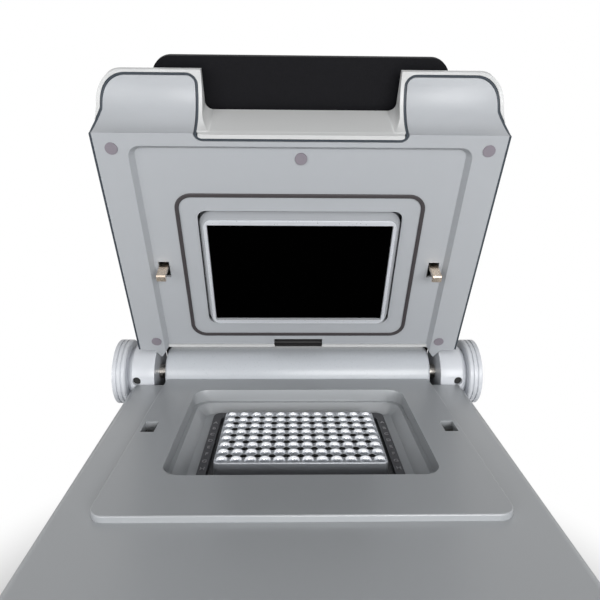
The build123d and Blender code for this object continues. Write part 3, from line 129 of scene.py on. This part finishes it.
MATERIALS = {
    "housing": material("housing_plastic", (192, 193, 193), 0.42, grain=0.05, speckle=0.05),
    "case": material("case_plastic", (170, 173, 176), 0.30, grain=0.003, speckle=0.01, gloss=0.9),
    "cover": material("cover_plastic", (178, 182, 187), 0.30, grain=0.04, speckle=0.04),
    "deck": material("deck_paint", (162, 165, 168), 0.30, grain=0.003, speckle=0.01, gloss=0.9),
    "liner": material("liner_plastic", (160, 163, 167), 0.40, grain=0.05, speckle=0.05),
    "frame": material("frame_plastic", (62, 62, 66), 0.45, grain=0.08, speckle=0.05),
    "black": material("black_plastic", (22, 22, 25), 0.42, grain=0.25, speckle=0.06),
    "handle": material("handle_rubber", (8, 8, 12), 0.6, grain=0.35, speckle=0.05, gloss=0.15),
    "rubber": material("dark_rubber", (46, 54, 62), 0.6, grain=0.2, speckle=0.05),
    "seal": material("seal_rubber", (52, 48, 50), 0.55, grain=0.15, speckle=0.05),
    "dots": material("dot_rubber", (122, 116, 124), 0.55, grain=0.15, speckle=0.05),
    "screen": material("screen_glass", (10, 11, 14), 0.06, coat=1.0, speckle=0.02),
    "block": material("block_metal", (186, 189, 194), 0.36, metallic=0.6, speckle=0.05),
    "bright": material("bright_metal", (232, 234, 238), 0.16, metallic=1.0, speckle=0.03),
    "barrel": material("barrel_paint", (196, 199, 204), 0.32, grain=0.03, speckle=0.04),
    "lip": material("platen_lip_metal", (222, 225, 230), 0.3, metallic=0.45, speckle=0.03),
    "steel": material("plain_steel", (176, 172, 166), 0.3, metallic=1.0, speckle=0.08),
    "nickel": material("nickel_steel", (224, 208, 190), 0.25, metallic=1.0, speckle=0.06),
    "platen": material("heater_coat", (1, 1, 1), 0.7, grain=0.15, speckle=0.05, gloss=0.0),
    "board": material("circuit_board", (24, 84, 50), 0.45, speckle=0.1),
    "fins": material("heat_sink_metal", (170, 172, 176), 0.35, metallic=1.0, speckle=0.08),
    # Near-black painted shade, for the deep parts of the holes, the hinge channel, the cable slot and
    # the barrel screw holes
    "painted_shade": material("painted_shade_black", (14, 13, 13), 0.7, grain=0.1, speckle=0.02),
    "mark": material("raised_mark", (150, 148, 151), 0.4, grain=0.1, speckle=0.04),
    "foam": material("grey_foam", (90, 90, 92), 0.9, grain=0.6, speckle=0.02),
}
NODES_BY_LOOK = {
    "housing": ("lid_shell",),
    "case": ("base_housing",),
    "cover": ("hinge_cover",),
    "deck": ("deck_plate", "well_bezel"),
    "liner": ("lid_liner",),
    "frame": ("label_frame",),
    "black": (
        "base_tray", "rear_panel", "front_bezel", "fan_frames", "fan_rotor_left", "fan_rotor_right",
        "air_duct", "power_inlet", "switch_frame", "switch_rocker", "data_ports", "block_gasket",
    ),
    "handle": ("handle_flap",),
    "rubber": ("rubber_feet", "parting_seal"),
    "seal": ("lid_seal", "heater_mat"),
    "dots": ("lid_bumpers",),
    "screen": ("touch_glass",),
    "block": ("sample_block",),
    "barrel": ("hinge_barrel_left", "hinge_barrel_right", "hinge_cap_left", "hinge_cap_right"),
    "lip": ("platen_frame",),
    "steel": (
        "hinge_shaft", "hinge_dampers", "handle_pins", "latch_shaft", "latch_lever", "latch_link",
        "latch_bearings", "latch_strikers", "backing_plate", "spring_cups", "guide_posts", "sink_posts",
        "board_standoffs", "power_supply", "usb_port",
    ),
    "nickel": ("latch_hooks",),
    "platen": ("heater_plate",),
    "board": ("control_board", "display_module"),
    "fins": ("heat_sink", "platen_carrier"),
    "foam": ("heat_pump_modules", "platen_insulation"),
}
LOOKS = {node: look for look, group in NODES_BY_LOOK.items() for node in group}
for name, thing in nodes.items():
    thing.data.materials.clear()
    thing.data.materials.append(MATERIALS[LOOKS[name]])

# Rounded edges of the nodes in sight, by their width
WELD_GAP = 0.01
EDGE_SEGMENTS = 2
NODES_BY_EDGE = {
    0.8: ("base_housing",),
    0.5: ("lid_shell", "lid_liner", "lid_seal", "well_bezel", "hinge_barrel_left", "hinge_barrel_right"),
    0.4: ("hinge_cover", "handle_flap"),
    0.3: (
        "deck_plate", "platen_frame", "hinge_cap_left", "hinge_cap_right", "latch_hooks", "front_bezel",
        "power_inlet",
    ),
    0.2: ("parting_seal", "lid_bumpers", "rear_panel"),
}
for width, group in NODES_BY_EDGE.items():
    for name in group:
        weld = nodes[name].modifiers.new("weld", "WELD")
        weld.merge_threshold = WELD_GAP * MM
        edge = nodes[name].modifiers.new("edge", "BEVEL")
        edge.width = width * MM
        edge.segments = EDGE_SEGMENTS
        edge.limit_method = "ANGLE"
        edge.angle_limit = SHARP_ANGLE

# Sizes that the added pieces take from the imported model


def box_mm(node):
    """Lowest and highest corner of a CAD node, in millimetres"""
    return [[round(value / MM, 3) for value in corner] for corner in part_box(node)]


hinge = next(joint for joint in frame["joints"] if joint["name"] == "lid_hinge")
HINGE_Y, HINGE_Z = (round(value / MM, 3) for value in hinge["pos_m"][1:])
LID_OPEN = math.radians(-hinge["range_deg"][0])
(BLOCK_LEFT, BLOCK_FRONT, BLOCK_LOW), (BLOCK_RIGHT, BLOCK_BACK, BLOCK_TOP) = box_mm("sample_block")
FRAME_TOP = box_mm("label_frame")[1][2]
COVER_END = box_mm("hinge_cover")[1][0]
BARREL_INNER, BARREL_FRONT = box_mm("hinge_barrel_right")[0][:2]
PLATEN_HALF_X = box_mm("platen_frame")[1][0]

# Block, with its wells 9 mm apart
COLUMNS, ROWS = 12, 8
WELL_PITCH = 9.0
BLOCK_Y = (BLOCK_FRONT + BLOCK_BACK) / 2
BLOCK_HALF_X, BLOCK_HALF_Y = COLUMNS * WELL_PITCH / 2, ROWS * WELL_PITCH / 2
BLOCK_CORNER = 3.0
BLOCK_EDGE = 0.8
EDGE_STEPS = 4
FOOT_WIDTH = (BLOCK_RIGHT - BLOCK_LEFT) / 2 - BLOCK_HALF_X
FOOT_TOP = BLOCK_LOW + 6.0

# Radius and height of a well's rings from the top face down: a polished mouth, then the cone
WELL_RINGS = (
    (3.8, 0.0), (3.62, -0.12), (3.1, -0.75), (2.7, -1.4), (1.45, -12.4), (1.2, -13.6), (0.6, -14.3),
)
POLISHED_RINGS = 3
HOLE_RADIUS = 2.25
HOLE_RINGS = ((HOLE_RADIUS, 0.0), (HOLE_RADIUS - 0.12, -0.15), (HOLE_RADIUS - 0.15, -7.0))
ROUND_STEPS = 48
CORNER_STEPS = 8
NO_SLOPE = 1e-9
METAL, POLISH, HOLE_SHADE = 0, 1, 2


def column_x(column):
    """Middle of a column of wells, counted from the left"""
    return (column - (COLUMNS - 1) / 2) * WELL_PITCH


def row_y(row):
    """Middle of a row of wells, counted from the front"""
    return BLOCK_Y + (row - (ROWS - 1) / 2) * WELL_PITCH


def circle(x, y, z, radius, steps):
    """Points of a level circle"""
    turns = [2 * math.pi * k / steps for k in range(steps)]
    return [(x + radius * math.cos(a), y + radius * math.sin(a), z) for a in turns]


def rounded_loop(half_x, half_y, radius, z):
    """Points of a level rectangle with round corners, centred on the block"""
    points = []
    for side_x, side_y, start in ((1, 1, 0), (-1, 1, 90), (-1, -1, 180), (1, -1, 270)):
        for k in range(CORNER_STEPS + 1):
            a = math.radians(start + 90 * k / CORNER_STEPS)
            points.append((
                side_x * (half_x - radius) + radius * math.cos(a),
                BLOCK_Y + side_y * (half_y - radius) + radius * math.sin(a),
                z,
            ))
    return points


def add_ring(mesh, points):
    return [mesh.verts.new(Vector(p) * MM) for p in points]


def bridge(mesh, lower, upper, slot=METAL):
    """Faces between two closed rings with as many points"""
    count = len(lower)
    for i in range(count):
        j = (i + 1) % count
        face = mesh.faces.new((lower[i], lower[j], upper[j], upper[i]))
        face.material_index = slot
        face.smooth = True


def finished(mesh, name, body, slots):
    """Turn a bmesh into a named piece that rides on a body"""
    bmesh.ops.recalc_face_normals(mesh, faces=mesh.faces)
    data = bpy.data.meshes.new(name)
    mesh.to_mesh(data)
    mesh.free()
    for look in slots:
        data.materials.append(MATERIALS[look])
    data.set_sharp_from_angle(angle=SHARP_ANGLE)
    thing = bpy.data.objects.new(name, data)
    bpy.context.scene.collection.objects.link(thing)
    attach(thing, body)
    return thing


def reach(dx, dy, column, row):
    """Distance along a direction from a well's middle to the edge of its patch of the top face"""
    half = WELL_PITCH / 2
    rim = half - BLOCK_EDGE
    limits = (
        (dx, half if column < COLUMNS - 1 else rim),
        (-dx, half if column > 0 else rim),
        (dy, half if row < ROWS - 1 else rim),
        (-dy, half if row > 0 else rim),
    )
    best = min(limit / slope for slope, limit in limits if slope > NO_SLOPE)
    for side_x, side_y in ((-1, -1), (-1, 1), (1, -1), (1, 1)):
        inside_x = 0 <= column + side_x < COLUMNS
        inside_y = 0 <= row + side_y < ROWS
        if inside_x and inside_y:
            # The patch stops at the hole between four wells
            cx, cy = side_x * half, side_y * half
            along = dx * cx + dy * cy
            off = cx * cx + cy * cy - along * along
            if along > 0 and off < HOLE_RADIUS * HOLE_RADIUS:
                best = min(best, along - math.sqrt(HOLE_RADIUS * HOLE_RADIUS - off))
        elif not inside_x and not inside_y:
            # The patch follows the round corner of the block
            radius = BLOCK_CORNER - BLOCK_EDGE
            cx, cy = side_x * (half - BLOCK_CORNER), side_y * (half - BLOCK_CORNER)
            if (dx * best - cx) * side_x > 0 and (dy * best - cy) * side_y > 0:
                along = dx * cx + dy * cy
                off = cx * cx + cy * cy - along * along
                best = min(best, along + math.sqrt(max(radius * radius - off, 0)))
    return best


def add_well(mesh, column, row):
    """A well, and the patch of the top face round it"""
    x, y = column_x(column), row_y(row)
    rings = [
        add_ring(mesh, circle(x, y, BLOCK_TOP + height, radius, ROUND_STEPS))
        for radius, height in WELL_RINGS
    ]
    outline = []
    for dx, dy, _ in circle(0, 0, 0, 1, ROUND_STEPS):
        far = reach(dx, dy, column, row)
        outline.append((x + dx * far, y + dy * far, BLOCK_TOP))
    bridge(mesh, add_ring(mesh, outline), rings[0])
    for i in range(len(rings) - 1):
        bridge(mesh, rings[i], rings[i + 1], POLISH if i < POLISHED_RINGS else METAL)
    mesh.faces.new(rings[-1]).material_index = METAL


def add_hole(mesh, column, row):
    """The hole behind and to the right of a well; below its mouth, its walls and bottom are painted
    near-black as painted shade
    """
    x, y = column_x(column) + WELL_PITCH / 2, row_y(row) + WELL_PITCH / 2
    mouth, neck, bottom = (
        add_ring(mesh, circle(x, y, BLOCK_TOP + height, radius, ROUND_STEPS))
        for radius, height in HOLE_RINGS
    )
    bridge(mesh, mouth, neck)
    bridge(mesh, neck, bottom, HOLE_SHADE)
    mesh.faces.new(bottom).material_index = HOLE_SHADE


def add_block_sides(mesh):
    """The rounded top edge of the block, its sides and its foot"""
    loops = []
    for k in range(EDGE_STEPS + 1):
        a = math.radians(90 * k / EDGE_STEPS)
        inset = BLOCK_EDGE * (1 - math.sin(a))
        drop = BLOCK_EDGE * (1 - math.cos(a))
        loops.append(rounded_loop(
            BLOCK_HALF_X - inset, BLOCK_HALF_Y - inset, BLOCK_CORNER - inset, BLOCK_TOP - drop,
        ))
    foot_x, foot_y = BLOCK_HALF_X + FOOT_WIDTH, BLOCK_HALF_Y + FOOT_WIDTH
    loops.append(rounded_loop(BLOCK_HALF_X, BLOCK_HALF_Y, BLOCK_CORNER, FOOT_TOP))
    loops.append(rounded_loop(foot_x, foot_y, BLOCK_CORNER, FOOT_TOP))
    loops.append(rounded_loop(foot_x, foot_y, BLOCK_CORNER, BLOCK_LOW))
    rings = [add_ring(mesh, loop) for loop in loops]
    for i in range(len(rings) - 1):
        bridge(mesh, rings[i], rings[i + 1])
    mesh.faces.new(rings[-1])


block = bmesh.new()
for column in range(COLUMNS):
    for row in range(ROWS):
        add_well(block, column, row)
        if column < COLUMNS - 1 and row < ROWS - 1:
            add_hole(block, column, row)
add_block_sides(block)
block_piece = finished(block, "block_wells", "base", ("block", "bright", "painted_shade"))
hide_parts("sample_block")

# Painted shade in the hinge channel: near-black sheets in the gaps between the hinge cover and the
# barrels, standing in for the shade there
SHADE_FROM, SHADE_TO = COVER_END + 0.6, BARREL_INNER - 0.3
SHADE_RADIUS, SHADE_WALL = 25.0, 0.7
SHADE_START, SHADE_SWEEP = 188.0, 252.0
SHADE_STEPS = 36
for side, side_name in LEFT_AND_RIGHT:
    shade_sheet = bmesh.new()
    sections = []
    for k in range(SHADE_STEPS + 1):
        a = math.radians(SHADE_START + SHADE_SWEEP * k / SHADE_STEPS)
        sections.append(add_ring(shade_sheet, [
            (side * x, HINGE_Y + radius * math.cos(a), HINGE_Z + radius * math.sin(a))
            for x, radius in (
                (SHADE_FROM, SHADE_RADIUS),
                (SHADE_TO, SHADE_RADIUS),
                (SHADE_TO, SHADE_RADIUS - SHADE_WALL),
                (SHADE_FROM, SHADE_RADIUS - SHADE_WALL),
            )
        ]))
    for i in range(SHADE_STEPS):
        bridge(shade_sheet, sections[i], sections[i + 1])
    shade_sheet.faces.new(sections[0])
    shade_sheet.faces.new(sections[-1])
    finished(shade_sheet, f"channel_painted_shade_{side_name}", "base", ("painted_shade",))

# Closed lid: the grommet and the skirt are laid out in it and then swung open
LID_BACK = HINGE_Y - 27.0
SHELL_LOW = 190.8
PANEL_Z = 191.5
LINER_TOP = PANEL_Z + 2.5


def swung(x, y, z):
    """A point of the closed lid, with the lid swung open"""
    dy, dz = y - HINGE_Y, z - HINGE_Z
    c, s = math.cos(LID_OPEN), math.sin(LID_OPEN)
    return (x, HINGE_Y + dy * c + dz * s, HINGE_Z - dy * s + dz * c)


# Grommet, a bent sheet in the cable notch at the back edge of the lid, painted near-black as painted
# shade of the cable slot
GROMMET_HALF = 19.8
GROMMET_BACK, GROMMET_BEND, GROMMET_FRONT = LID_BACK - 0.2, LID_BACK - 3.1, LID_BACK - 8.0
GROMMET_LOW, GROMMET_ROOF = SHELL_LOW + 0.3, LINER_TOP + 0.3
GROMMET_WALL, ROOF_THICKNESS = 2.0, 0.9
OUTER_SHOULDER, INNER_SHOULDER = 0.5, 1.0
GROMMET_PROFILE = (
    (GROMMET_BACK, GROMMET_LOW),
    (GROMMET_BACK, GROMMET_ROOF - OUTER_SHOULDER),
    (GROMMET_BEND, GROMMET_ROOF + ROOF_THICKNESS),
    (GROMMET_FRONT, GROMMET_ROOF + ROOF_THICKNESS),
    (GROMMET_FRONT, GROMMET_ROOF),
    (GROMMET_BEND, GROMMET_ROOF),
    (GROMMET_BACK - GROMMET_WALL, GROMMET_ROOF - INNER_SHOULDER),
    (GROMMET_BACK - GROMMET_WALL, GROMMET_LOW),
)
grommet = bmesh.new()
ends = [
    add_ring(grommet, [swung(x, y, z) for y, z in GROMMET_PROFILE])
    for x in (-GROMMET_HALF, GROMMET_HALF)
]
bridge(grommet, ends[0], ends[1])
for end in ends:
    grommet.faces.new(end)
finished(grommet, "cable_slot_painted_shade", "lid", ("painted_shade",))

# Screws sunk in the holes of the hinge barrels, painted near-black as painted shade of the holes
SCREW_X = 132.5
SCREW_RADIUS, SCREW_BEVEL, SCREW_MIDDLE = 3.3, 0.4, 0.4
SCREW_FRONT = BARREL_FRONT + 2.5
SCREW_BACK = SCREW_FRONT + 6.2
SCREW_STEPS = 24
SCREW_RINGS = (
    (SCREW_MIDDLE, SCREW_FRONT),
    (SCREW_RADIUS - SCREW_BEVEL, SCREW_FRONT),
    (SCREW_RADIUS, SCREW_FRONT + SCREW_BEVEL),
    (SCREW_RADIUS, SCREW_BACK),
    (SCREW_MIDDLE, SCREW_BACK),
)
for side, side_name in LEFT_AND_RIGHT:
    screw = bmesh.new()
    rings = []
    for radius, y in SCREW_RINGS:
        disc = circle(side * SCREW_X, HINGE_Z, 0, radius, SCREW_STEPS)
        rings.append(add_ring(screw, [(x, y, z) for x, z, _ in disc]))
    for i in range(len(rings) - 1):
        bridge(screw, rings[i], rings[i + 1])
    screw.faces.new(rings[0])
    screw.faces.new(rings[-1])
    finished(screw, f"barrel_screw_painted_shade_{side_name}", "lid", ("painted_shade",))

# Sloping skirt round the heated plate's frame: how far each loop stands out, and its height
PLATEN_HALF_Y, PLATEN_CORNER = 47.0, 6.0
PLATEN_LOW = PANEL_Z - 6.0
SKIRT_LOOPS = (
    (0.1, PLATEN_LOW + 0.9),
    (0.5, PLATEN_LOW + 0.5),
    (0.9, PLATEN_LOW + 0.6),
    (3.4, PANEL_Z + 0.8),
    (3.4, PANEL_Z + 1.8),
    (0.1, PANEL_Z + 1.8),
)
skirt = bmesh.new()
rings = []
for out, z in SKIRT_LOOPS:
    loop = rounded_loop(PLATEN_HALF_X + out, PLATEN_HALF_Y + out, PLATEN_CORNER + out, z)
    rings.append(add_ring(skirt, [swung(*point) for point in loop]))
for i in range(len(rings)):
    bridge(skirt, rings[i], rings[(i + 1) % len(rings)])
finished(skirt, "platen_skirt", "platen", ("liner",))

# Raised row letters and column numbers on the frame round the block
LETTER_X, LETTER_SIZE = 61.3, 4.6
NUMBER_Y, NUMBER_SIZE = BLOCK_Y - 44.5, 4.4
MARK_Z = FRAME_TOP + 0.12
MARK_DEPTH, MARK_BEVEL = 0.15, 0.05


def raised_text(word, x, y, size, name):
    curve = bpy.data.curves.new(name, "FONT")
    curve.body = word
    curve.size = size * MM
    curve.extrude = MARK_DEPTH * MM
    curve.bevel_depth = MARK_BEVEL * MM
    curve.align_x = "CENTER"
    curve.align_y = "CENTER"
    curve.materials.append(MATERIALS["mark"])
    thing = bpy.data.objects.new(name, curve)
    thing.location = (x * MM, y * MM, MARK_Z * MM)
    bpy.context.scene.collection.objects.link(thing)
    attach(thing, "base")


for rows_behind, letter in enumerate("ABCDEFGH"):
    y = row_y(ROWS - 1 - rows_behind)
    for side, side_name in LEFT_AND_RIGHT:
        raised_text(letter, side * LETTER_X, y, LETTER_SIZE, f"mark_{letter}_{side_name}")
for column in range(COLUMNS):
    raised_text(str(column + 1), column_x(column), NUMBER_Y, NUMBER_SIZE, f"mark_{column + 1}")

# Soft studio lamps: place, target and size in metres, power in watts


def lamp(name, place, target, size, power):
    data = bpy.data.lights.new(name, "AREA")
    data.shape = "RECTANGLE"
    data.size, data.size_y = size
    data.energy = power
    lamp_object = bpy.data.objects.new(name, data)
    lamp_object.location = place
    lamp_object.rotation_euler = (Vector(target) - Vector(place)).to_track_quat("-Z", "Y").to_euler()
    bpy.context.scene.collection.objects.link(lamp_object)


lamp("key", (0.6, -1.9, 0.62), (0, 0, 0.25), (1.4, 0.8), 34)
lamp("fill", (-1.2, -1.6, 0.55), (0, 0, 0.2), (1.2, 0.8), 14)
lamp("top", (0.1, -0.1, 1.9), (0, 0, 0.2), (1.4, 1.2), 2)

# World and floor: plain light on the object, and white wherever the background is seen
AMBIENT = 0.24
WHITE = (1, 1, 1, 1)
FLOOR_SIZE = 6
FADE_FROM, FADE_TO = 0.2, 0.36


def combined(tree, operation, first, second):
    """A maths node's result for two sockets"""
    node = tree.nodes.new("ShaderNodeMath")
    node.operation = operation
    tree.links.new(first, node.inputs[0])
    tree.links.new(second, node.inputs[1])
    return node.outputs["Value"]


def mix_into(tree, factor, first, second, surface):
    """Feed a surface with the first shader, or with the second where the factor is 1"""
    mix = tree.nodes.new("ShaderNodeMixShader")
    tree.links.new(factor, mix.inputs["Fac"])
    tree.links.new(first, mix.inputs[1])
    tree.links.new(second, mix.inputs[2])
    tree.links.new(mix.outputs["Shader"], surface)


world = bpy.data.worlds.new("studio")
bpy.context.scene.world = world
world.use_nodes = True
tree = world.node_tree
ambient = tree.nodes["Background"]
ambient.inputs["Color"].default_value = WHITE
ambient.inputs["Strength"].default_value = AMBIENT
seen = tree.nodes.new("ShaderNodeBackground")
seen.inputs["Color"].default_value = WHITE
seen.inputs["Strength"].default_value = 1.0
path = tree.nodes.new("ShaderNodeLightPath").outputs
camera_or_gloss = combined(tree, "MAXIMUM", path["Is Camera Ray"], path["Is Glossy Ray"])
any_sight = combined(tree, "MAXIMUM", camera_or_gloss, path["Is Transmission Ray"])
mix_into(
    tree, any_sight, ambient.outputs["Background"], seen.outputs["Background"],
    tree.nodes["World Output"].inputs["Surface"],
)

bpy.ops.mesh.primitive_plane_add(size=FLOOR_SIZE, location=(0, 0, 0))
floor = bpy.context.object
floor.name = "floor"
paper = material("floor_paper", (242, 242, 242), 0.9, speckle=0.02)
floor.data.materials.append(paper)
tree = paper.node_tree
white = tree.nodes.new("ShaderNodeEmission")
white.inputs["Color"].default_value = WHITE
white.inputs["Strength"].default_value = 1.0
where = tree.nodes.new("ShaderNodeTexCoord")
distance = tree.nodes.new("ShaderNodeVectorMath")
distance.operation = "LENGTH"
tree.links.new(where.outputs["Object"], distance.inputs[0])
fade = tree.nodes.new("ShaderNodeMapRange")
fade.interpolation_type = "SMOOTHSTEP"
fade.inputs["From Min"].default_value = FADE_FROM
fade.inputs["From Max"].default_value = FADE_TO
tree.links.new(distance.outputs["Value"], fade.inputs["Value"])
path = tree.nodes.new("ShaderNodeLightPath").outputs
shown = combined(tree, "MULTIPLY", fade.outputs["Result"], path["Is Camera Ray"])
mix_into(
    tree, shown, tree.nodes["Principled BSDF"].outputs["BSDF"], white.outputs["Emission"],
    tree.nodes["Material Output"].inputs["Surface"],
)
